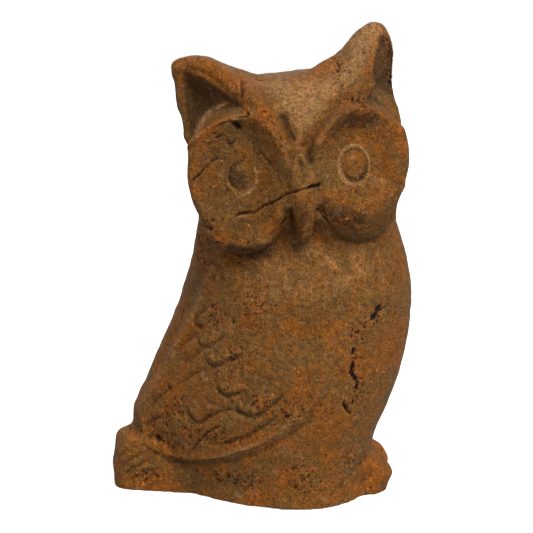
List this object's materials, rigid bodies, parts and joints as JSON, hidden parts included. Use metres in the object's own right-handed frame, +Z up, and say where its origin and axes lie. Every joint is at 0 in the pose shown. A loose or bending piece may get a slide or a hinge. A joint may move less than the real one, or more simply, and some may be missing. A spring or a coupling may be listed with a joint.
{
  "type": "owl figurine",
  "caption": "hollow hand-built terracotta owl that stands on a flat base, its head turned to its own right, with dished face discs, ear tufts, folded wings and a short tail",
  "frame": {"origin": "centre of the length of the flat underside, on the middle plane of the body, at the level the figurine stands on", "axes": "+Z up; the chest points towards +X and the tail towards -X; the head is turned so that the face looks towards -Y"},
  "size_m": [0.1784, 0.1249, 0.2794],
  "materials": {
    "terracotta_brown": "unglazed fired clay, matte, brown with a grey-olive cast",
    "terracotta_orange": "unglazed fired clay, matte, bare orange where the surface is rubbed or broken",
    "terracotta_olive": "unglazed fired clay, matte, darkened to olive by soot and damp in the hollows",
    "terracotta_raw": "rough unglazed clay that nobody sees, with finger marks"
  },
  "bodies": {
    "root": {"base_slab": "terracotta_orange", "base_coil": "terracotta_raw", "body_shell": "terracotta_brown", "neck_coil": "terracotta_raw", "head_shell": "terracotta_brown", "right_ear_tuft": "terracotta_olive", "left_ear_tuft": "terracotta_olive", "right_brow": "terracotta_orange", "left_brow": "terracotta_orange", "right_facial_disc": "terracotta_brown", "left_facial_disc": "terracotta_brown", "right_eye": "terracotta_olive", "left_eye": "terracotta_brown", "beak": "terracotta_brown", "right_chin_ruff": "terracotta_brown", "left_chin_ruff": "terracotta_brown", "right_wing": "terracotta_brown", "left_wing": "terracotta_brown", "tail": "terracotta_brown", "right_foot": "terracotta_orange", "left_foot": "terracotta_orange"}
  },
  "joints": []
}
